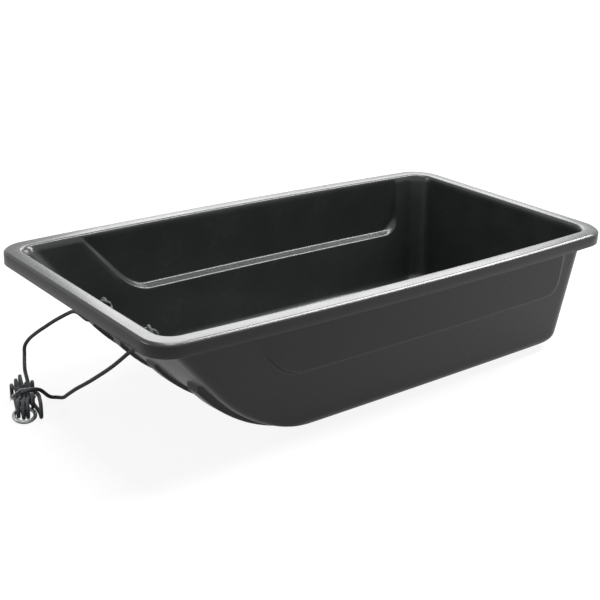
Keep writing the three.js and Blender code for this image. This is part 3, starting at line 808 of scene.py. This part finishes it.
def tub_levels(s):
    """The tub's rings in order: up the outside, round the rim, and down the inside."""
    low = 1 - np.cos(quarter_turn(9))
    floor, wall, top = s.floor_height, s.wall, s.height
    lip, middle = top - s.skirt, top - s.skirt / 2
    panel = s.ledge_height - floor + PANEL_RISE
    outer = floor + join([s.side_fillet * low, OUTER_RISE, panel])
    inner = floor + wall + join([(s.side_fillet - wall) * low, INNER_RISE, panel - wall])
    inner = np.append(inner, top - s.edge_round)[::-1]
    edge_in, edge_down = rolled_edge(s.edge_round)
    mouth = quarter_turn(8)[:-1]
    root = quarter_turn(4)
    inset = join([
        [0.45 * s.flange_side], wall + NIP * (1 + 2 * np.cos(root)) - NIP,
        [wall, wall, wall - NIP, NIP, 0.0, 0.0],
        edge_in, [s.flange_side / 2], s.flange_side - s.edge_round * (1 - np.sin(mouth)),
    ])
    height = join([
        [top - wall], top - wall - 2 * NIP * np.sin(root),
        [middle, lip + NIP, lip, lip, lip + NIP, middle],
        top - edge_down, [top], top - s.edge_round * (1 - np.cos(mouth)),
    ])
    parts = [
        body_levels(s, np.append(outer, top - wall), False), rim_levels(s, inset, height),
        body_levels(s, inner, True),
    ]
    return {key: join([part[key] for part in parts]) for key in parts[0]}


def tub_mesh(s):
    """The whole moulding as one closed skin: its rings, and a patch at both floors."""
    level = tub_levels(s)
    rings, counts = ring_points(s, level)
    points = [rings.reshape(-1, 3)]
    faces = [grid_faces(*rings.shape[:2], False, True)]
    for row, inside in ((0, False), (-1, True)):
        patch = floor_patch(s, rings[row], counts, inside)
        corners = grid_faces(*patch.shape[:2])
        faces.append(sum(map(len, points)) + (corners if inside else corners[:, ::-1]))
        points.append(patch.reshape(-1, 3))
    return join(points), join(faces)


def cut_holes(obj, cutters):
    """Cuts the bars given out of a piece and takes the bars away."""
    for cutter in cutters:
        cut = obj.modifiers.new("hole", "BOOLEAN")
        cut.operation = "DIFFERENCE"
        cut.solver = "EXACT"
        cut.object = cutter
    graph = bpy.context.evaluated_depsgraph_get()
    whole = bpy.data.meshes.new_from_object(obj.evaluated_get(graph))
    obj.modifiers.clear()
    plain = obj.data
    obj.data = whole
    whole.name = plain.name
    bpy.data.meshes.remove(plain)
    for cutter in cutters:
        bpy.data.meshes.remove(cutter.data)


def hole_bar(s, side):
    """A flat-sided round bar along a rope hole's axis, longer than the wall is thick."""
    sides = 40
    axis = np.stack([hole_place(s, side, reach) for reach in (-2 * s.wall, 3 * s.wall)])
    points, faces = tube(axis, s.hole_diameter / 2, sides)
    mesh = bpy.data.meshes.new("hole_bar")
    ends = [list(range(sides))[::-1], list(range(sides, 2 * sides))]
    mesh.from_pydata(points.tolist(), [], faces.tolist() + ends)
    obj = bpy.data.objects.new("hole_bar", mesh)
    bpy.context.collection.objects.link(obj)
    return obj


# Rope line, in metres


LEFT_ROUTE = np.array([
    [393.6, -67.4, 151], [396, -72.5, 149.6], [396.6, -80, 149.8], [396.6, -91, 151],
    [396.6, -104, 151.2], [397.6, -116, 148.5], [400.4, -130, 140.4], [405.2, -145, 130],
    [411.6, -160, 118.4], [418.3, -172, 107.6], [425.6, -190, 92.3], [431.6, -208, 74.5],
    [435.4, -213.6, 62.4], [440, -206, 51.4],
]) / 1000
RIGHT_ROUTE = np.array([
    [393.2, 64, 150.6], [396.1, 55, 144.3], [398.4, 40, 130.6], [402.2, 25, 115.8],
    [406.6, 10, 101.8], [411.8, -8, 86.4], [417.6, -27, 70.6], [422.4, -42, 58.8],
    [424.4, -60, 46], [424.2, -77, 33.6], [423, -93, 22], [421.2, -106, 12.6],
    [420.2, -114.6, 7], [421, -121.8, 4], [424.8, -127.6, 3.3],
]) / 1000

# Points of the hank are told by their distance along it, to its side and up
HANK_WAIST = np.array([0.474, -0.147, 0.0])
HANK_HEADING = np.radians(67)
HANK_ENTRY = np.array([
    [-46, -6.9, 44], [-36, -6.9, 38], [-22.5, -8.7, 31], [-13, -10.2, 25.6], [-4.5, -12.2, 21],
    [2.5, -15.4, 19.4], [8.5, -19.4, 20.2], [15, -22.8, 19.8], [26, -24.3, 20.8],
]) / 1000
HANK_EXIT = np.array([
    [-13, 13.6, 21.4], [-6, 6.4, 20], [0.5, 0.9, 19], [6, -2.6, 21.2], [10.6, -7.2, 24.8],
    [13.2, -13.4, 27.4], [14, -20.4, 28], [13.2, -27.2, 25.4], [9.6, -33.6, 18],
    [4.6, -39.4, 10], [-0.6, -45.6, 4.6],
]) / 1000
# One row for each loop: reach, side, lift and rise of its ring end, reach and side of its fan
# end, and side and height at the waist on its way to the fan end and on its way back
HANK_LOOPS = np.array([
    [71, -24.5, 0, 23, 35, -16.8, -12.9, 5.6, -16.2, 11.6],
    [57.5, -13.6, 13.2, 18, 31, -7, -6.45, 5.6, -9.8, 12.7],
    [68, -5.1, 0, 23, 60, 1.2, 0, 5.6, -3.3, 11.6],
    [69.3, 1.4, 0, 23, 46, 8.2, 6.45, 5.6, 3.2, 11.6],
    [63, 9, 0, 23, 28.5, 15.6, 11.7, 10.8, 0, 0],
]) / 1000
FAN_RISE = 0.018
ROPE_REST = 0.00315
FOLD_STEPS = 6
RUN_STEPS = 6
ROPE_STEP = 0.0014

# Stopper knots, tow ring and tie
KNOT_SEAT = 0.018
KNOT_ENTRY = 0.00075
KNOT_RADIUS = 0.007
KNOT_RISE = 0.0034
KNOT_OPENING = 0.9
KNOT_TAIL = 0.011
KNOT_LEAN = 0.0012
KNOT_POINTS = 150
RING_REACH = 0.0586
RING_TILT = np.radians(14)
RING_GAP = 0.000075
RING_POINTS = 120
RING_SIDES = 28
WELD_TURN = 4.4
WELD_WIDTH = 0.0022
WELD_SWELL = 0.03
TIE_PLACE = 0.001
TIE_REACH = 0.025
TIE_CLEARANCE = 0.0008
TIE_SPREAD = 0.0026
TIE_TAIL = np.array([0.0036, 0.0032])
TIE_START = np.radians(27)
TIE_POINTS = 240
TIE_STEP = 0.0005
TIE_SIDES = 12


def hank_place(points):
    """Hank points as places in the sled's frame. The rows are the hank's three directions."""
    cosine, sine = np.cos(HANK_HEADING), np.sin(HANK_HEADING)
    return HANK_WAIST + points @ np.array([[cosine, sine, 0], [sine, -cosine, 0], [0, 0, 1]])


def hank_fold(reach, side, facing, start, end):
    """Half a turn at a loop's end: a half circle from one height to another, whose
    furthest point is at the given reach."""
    radius = abs(end - start) / 2
    turn = np.linspace(0.0, np.pi, FOLD_STEPS + 1)
    along = facing * (reach - radius + radius * np.sin(turn))
    height = mix(start, end, (1 - np.cos(turn)) / 2)
    return np.stack([along, np.full_like(along, side), height], axis=1)


def hank_run(start, end):
    """Places between two others: even along the hank, and an S-curve to the side and up."""
    t = np.linspace(0.0, 1.0, RUN_STEPS + 1)[1:-1, None]
    return start + (end - start) * join([t, ease(t), ease(t)], axis=1)


def hank_points():
    """The rope's places through the hank, in hank distances."""
    stops = [HANK_ENTRY]
    for row in HANK_LOOPS:
        reach, side, lift, rise, fan_reach, fan_side, down, down_height, back, back_height = row
        low = ROPE_REST + lift
        stops.append(hank_fold(reach, side, 1, low + rise, low))
        stops.append(np.array([[0.0, down, down_height]]))
        stops.append(hank_fold(fan_reach, fan_side, -1, ROPE_REST, ROPE_REST + FAN_RISE))
        if back_height > 0:
            stops.append(np.array([[0.0, back, back_height]]))
    places = [stops[0]]
    for stop in stops[1:]:
        places += [hank_run(places[-1][-1], stop[0]), stop]
    return join([*places, HANK_EXIT])


def front_outward(s, side):
    """The front face's outward direction at a rope hole, from how it leans and sweeps."""
    y = side * s.hole_spacing / 2
    step = s.wall

    def at(dy, dz):
        level = body_levels(s, [s.hole_height + dz], False)
        return front_x(s, level, y + dy)[0, 0]

    lean = (at(0, step) - at(0, -step)) / (2 * step)
    sweep = (at(step, 0) - at(-step, 0)) / (2 * step)
    return unit(np.array([1.0, -sweep, -lean]))


def hole_place(s, side, inward):
    """A point on a rope hole's axis, some way in from the outer face."""
    y = side * s.hole_spacing / 2
    level = body_levels(s, [s.hole_height], False)
    point = np.array([front_x(s, level, y)[0, 0], y, s.hole_height])
    return point - inward * front_outward(s, side)


def front_thickness(s, side):
    """Thickness of the front wall along a rope hole."""
    z = s.hole_height
    gap = slope_x(s, z, False) - slope_x(s, z, True)
    return float(gap * front_outward(s, side)[0])


def rope_line(s):
    """The rope's whole centreline, from inside the left hole, through the hank, to inside
    the right hole."""
    ends = []
    for side, route in ((-1, LEFT_ROUTE), (1, RIGHT_ROUTE)):
        inner = hole_place(s, side, front_thickness(s, side) + KNOT_SEAT + KNOT_ENTRY)
        ends.append(np.vstack([inner, hole_place(s, side, 0.0), route]))
    left, right = ends
    through = hank_place(hank_points())
    return smooth_line(join([left, through, right[::-1]]), ROPE_STEP)


def knot_line(s, side, rope):
    """A stopper knot's centreline: the rope comes up through the knot's middle, goes twice
    round a ring while it weaves three times over and under itself, and leaves as a tail.
    At angle a the distance from the middle is R + r cos(1.5 a) and the height is
    r sin(1.5 a)."""
    radius = rope.diameter / 2
    centre = hole_place(s, side, front_thickness(s, side) + KNOT_SEAT + radius + KNOT_RISE)
    up = -front_outward(s, side)
    across = unit(np.cross([0.0, 0.0, 1.0], up))
    a = np.linspace(0.0, 4 * np.pi - KNOT_OPENING, KNOT_POINTS) * side
    wave = 1.5 * a + np.pi
    out = KNOT_RADIUS + KNOT_RISE * np.cos(wave)
    height = -side * KNOT_RISE * np.sin(wave)
    knot = np.stack([out * np.cos(a), out * np.sin(a), height], axis=1)
    away = unit((knot[-1] - knot[-4]) * [1, 1, 0])
    reach = np.linspace(0.0, KNOT_TAIL, 9)[1:, None]
    tail = knot[-1] + reach * away + [0, 0, 0.25] * reach**2 / KNOT_TAIL
    stem = -KNOT_RISE - radius * np.array([2.2, 1.0])
    stem = np.array([[0.0, 0.0, stem[0]], [KNOT_LEAN, 0.0, stem[1]]])
    line = smooth_line(join([stem, knot[6::5], tail]), ROPE_STEP / 2)
    return centre + line @ np.stack([across, np.cross(up, across), up])


def ring_mesh(rope):
    """The tow ring: a circle of wire round a tilted circle, closed by a slightly swollen weld."""
    wire = rope.ring_wire / 2
    radius = rope.ring_diameter / 2 - wire
    turn = np.linspace(0.0, 2 * np.pi, RING_POINTS, endpoint=False)
    across = radius * np.cos(turn)
    lift = wire + RING_GAP + radius * np.sin(RING_TILT)
    ring = np.stack([
        RING_REACH + across * np.cos(RING_TILT), radius * np.sin(turn),
        lift - across * np.sin(RING_TILT),
    ], axis=1)
    off = (turn - WELD_TURN) * radius / WELD_WIDTH
    swell = 1 + WELD_SWELL * np.exp(-off * off)
    return tube(hank_place(ring), wire * swell / (1 + WELD_SWELL), RING_SIDES, True)


def tie_line(rope):
    """The tie's centreline: a tail, once round the strands at the waist and a second tail,
    slightly spiralled along the hank. For each direction across the hank the furthest strand
    is taken, and half the rope's and the tie's thickness and a clearance are added to it."""
    points = hank_points()
    a, b = points[:-1], points[1:]
    crossing = (a[:, 0] - TIE_PLACE) * (b[:, 0] - TIE_PLACE) < 0
    a, b = a[crossing], b[crossing]
    strands = mix(a, b, ((TIE_PLACE - a[:, 0]) / (b[:, 0] - a[:, 0]))[:, None])[:, 1:]
    strands = strands[np.abs(strands[:, 0]) < TIE_REACH]
    turn = np.linspace(0.0, 2 * np.pi, TIE_POINTS, endpoint=False) - TIE_START
    way = np.stack([np.cos(turn), np.sin(turn)], axis=1)
    distance = rope.diameter / 2 + TIE_CLEARANCE + rope.tie_wire / 2
    loop = strands[np.argmax(way @ strands.T, axis=1)] + distance * way
    tails = loop[[0, -1]] + TIE_TAIL * np.array([[1, -1], [1, 1]])
    line = join([tails[:1], loop, tails[1:]])
    along = TIE_PLACE + TIE_SPREAD * np.linspace(-0.5, 0.5, len(line))
    return even_steps(hank_place(np.column_stack([along, line])), TIE_STEP)


# Operators


class MakeTub(bpy.types.Operator):
    """Makes the moulded tub"""

    bl_idname = "sled.make_tub"
    bl_label = "Tub"

    def execute(self, context):
        tub = settings().tub
        obj = make_mesh("tub", tub_mesh(tub), moulded_plastic(tub.plastic), "sled")
        cut_holes(obj, [hole_bar(tub, side) for side in (-1, 1)])
        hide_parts("sled_tub")
        return {"FINISHED"}


class MakeRope(bpy.types.Operator):
    """Makes the tow rope with its hank"""

    bl_idname = "sled.make_rope"
    bl_label = "Tow rope"

    def execute(self, context):
        rope = settings().rope
        line = rope_line(settings().tub)
        fibre = bpy.data.materials.get("braided_fibre") or braided_fibre(rope)
        obj = rope_piece("tow_rope", line, rope, fibre)
        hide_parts("tow_rope_left", "tow_rope_right", "tow_rope_hank")
        tuple(hole_place(settings().tub, -1, 0.0))
        return {"FINISHED"}


class MakeKnots(bpy.types.Operator):
    """Makes the two stopper knots inside the tub"""

    bl_idname = "sled.make_knots"
    bl_label = "Stopper knots"

    def execute(self, context):
        rope = settings().rope
        fibre = bpy.data.materials.get("braided_fibre") or braided_fibre(rope)
        for side, name in ((-1, "left"), (1, "right")):
            line = knot_line(settings().tub, side, rope)
            obj = rope_piece(f"{name}_stopper_knot", line[::-1], rope, fibre, MELT_SWELL)
            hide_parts(f"{name}_knot")
        return {"FINISHED"}


class MakeRing(bpy.types.Operator):
    """Makes the tow ring"""

    bl_idname = "sled.make_ring"
    bl_label = "Tow ring"

    def execute(self, context):
        rope = settings().rope
        obj = make_mesh("steel_ring", ring_mesh(rope), plated_steel(rope.steel), "ring")
        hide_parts("tow_ring")
        return {"FINISHED"}


class MakeTie(bpy.types.Operator):
    """Makes the hank's tie"""

    bl_idname = "sled.make_tie"
    bl_label = "Hank tie"

    def execute(self, context):
        rope = settings().rope
        surface = tube(tie_line(rope), rope.tie_wire / 2, TIE_SIDES)
        obj = make_mesh("wire_tie", surface, tie_coating(rope.tie), "sled")
        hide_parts("hank_tie")
        return {"FINISHED"}


# The stage's lamps: each one's width, height, place and the point that it faces, in metres
MIDDLE = (0.0, 0.0, 0.1)
LAMPS = (
    ("top", 1.2, 1.2, (0.0, 0.0, 2.4), MIDDLE),
    ("side", 0.45, 1.8, (-1.43, 0.54, 1.83), (-0.82, 0.58, 0.14)),
    ("back", 2.4, 2.4, (-1.97, -2.31, 2.29), MIDDLE),
    ("low", 1.0, 1.0, (2.2, -0.8, 1.1), MIDDLE),
)


def pale_paper(colour, glow, floor_shine):
    """Plain matte paper. The camera sees it glow, which makes it white, and the shadows on it
    stay. Further off it is all white. Shiny pieces see it pale grey."""
    finish = Finish("pale_paper")
    seen = finish.node("ShaderNodeLightPath", output="Is Camera Ray")
    shine = finish.node("ShaderNodeLightPath", output="Is Glossy Ray")
    where = finish.place()
    reach = finish.node("ShaderNodeVectorMath", {"operation": "LENGTH"}, {0: where}, "Value")
    far = finish.ramp(0.5 * reach, (0.35, 0.0), (0.8, 1.0))
    share = (glow + (1.0 - glow) * far) * seen + floor_shine * shine
    return finish.done({
        "Base Color": (*colour, 1.0),
        "Roughness": 0.9,
        "Specular IOR Level": 0.0,
        "Emission Color": finish.blend(share, (0.0, 0.0, 0.0), (1.0, 1.0, 1.0)),
        "Emission Strength": 1.0,
    })


class MakeStage(bpy.types.Operator):
    """Makes the floor, lamps, surroundings and camera"""

    bl_idname = "sled.make_stage"
    bl_label = "Stage"

    def execute(self, context):
        stage = settings().stage
        scene = context.scene
        scene.view_settings.view_transform = "Standard"
        half = stage.floor_size / 2
        corners = [[-half, -half, 0], [half, -half, 0], [half, half, 0], [-half, half, 0]]
        mesh = bpy.data.meshes.new("floor")
        mesh.from_pydata(corners, [], [[0, 1, 2, 3]])
        mesh.materials.append(pale_paper(stage.paper, stage.glow, stage.floor_shine))
        floor = bpy.data.objects.new("floor", mesh)
        scene.collection.objects.link(floor)

        for name, width, height, place, target in LAMPS:
            data = bpy.data.lights.new(f"{name}_lamp", "AREA")
            data.shape = "RECTANGLE"
            data.energy = getattr(stage, f"{name}_light")
            data.size, data.size_y = width, height
            obj = bpy.data.objects.new(data.name, data)
            obj.location = place
            way = Vector(target) - Vector(place)
            obj.rotation_euler = way.to_track_quat("-Z", "Y").to_euler()
            scene.collection.objects.link(obj)

        scene.world = world = bpy.data.worlds.new("surroundings")
        world.use_nodes = True
        air = Finish("surroundings", world.node_tree)
        seen, shine, through = [
            air.node("ShaderNodeLightPath", output=name)
            for name in ("Is Camera Ray", "Is Glossy Ray", "Is Transmission Ray")
        ]
        light = stage.air_light * (1.0 - seen) + (stage.air_shine - stage.air_light) * shine
        sockets = {"Color": (1.0, 1.0, 1.0, 1.0), "Strength": light + seen.over(through)}
        air.put(world.node_tree.nodes["Background"], sockets)

        camera = bpy.data.cameras.new("camera")
        camera.lens = stage.lens
        camera.sensor_width = 36.0
        camera.clip_start = 0.05
        obj = bpy.data.objects.new("camera", camera)
        turn = Matrix.Rotation(stage.azimuth, 4, "Z")
        tip = Matrix.Rotation(np.pi / 2 - stage.elevation, 4, "X")
        roll = Matrix.Rotation(stage.roll, 4, "Z")
        obj.matrix_world = Matrix.Translation(stage.place) @ turn @ tip @ roll
        scene.collection.objects.link(obj)
        scene.camera = obj
        return {"FINISHED"}


class SledPanel(bpy.types.Panel):
    """The sled's sizes, colours and pieces"""

    bl_idname = "SLED_PT_pieces"
    bl_label = "Ice fishing sled"
    bl_space_type = "VIEW_3D"
    bl_region_type = "UI"
    bl_category = "Sled"

    def draw(self, context):
        for operator in OPERATORS:
            self.layout.operator(operator.bl_idname)
        for group in (context.scene.sled.tub, context.scene.sled.rope, context.scene.sled.stage):
            box = self.layout.box()
            for name in group.__annotations__:
                box.prop(group, name)


OPERATORS = (MakeStage, MakeKnots, MakeRing, MakeTie, MakeRope, MakeTub)
CLASSES = (TubSettings, RopeSettings, StageSettings, SledSettings, *OPERATORS, SledPanel)


def register():
    """Makes the settings, operators and panel known."""
    for cls in CLASSES:
        bpy.utils.register_class(cls)
    bpy.types.Scene.sled = PointerProperty(type=SledSettings)


def unregister():
    """Takes them away again."""
    del bpy.types.Scene.sled
    for cls in reversed(CLASSES):
        bpy.utils.unregister_class(cls)


def main():
    """Makes the whole scene."""
    register()
    for operator in OPERATORS:
        group, name = operator.bl_idname.split(".")
        if getattr(getattr(bpy.ops, group), name)() != {"FINISHED"}:
            raise RuntimeError(f"{operator.bl_label} wasn't made")


if __name__ == "__main__":
    main()
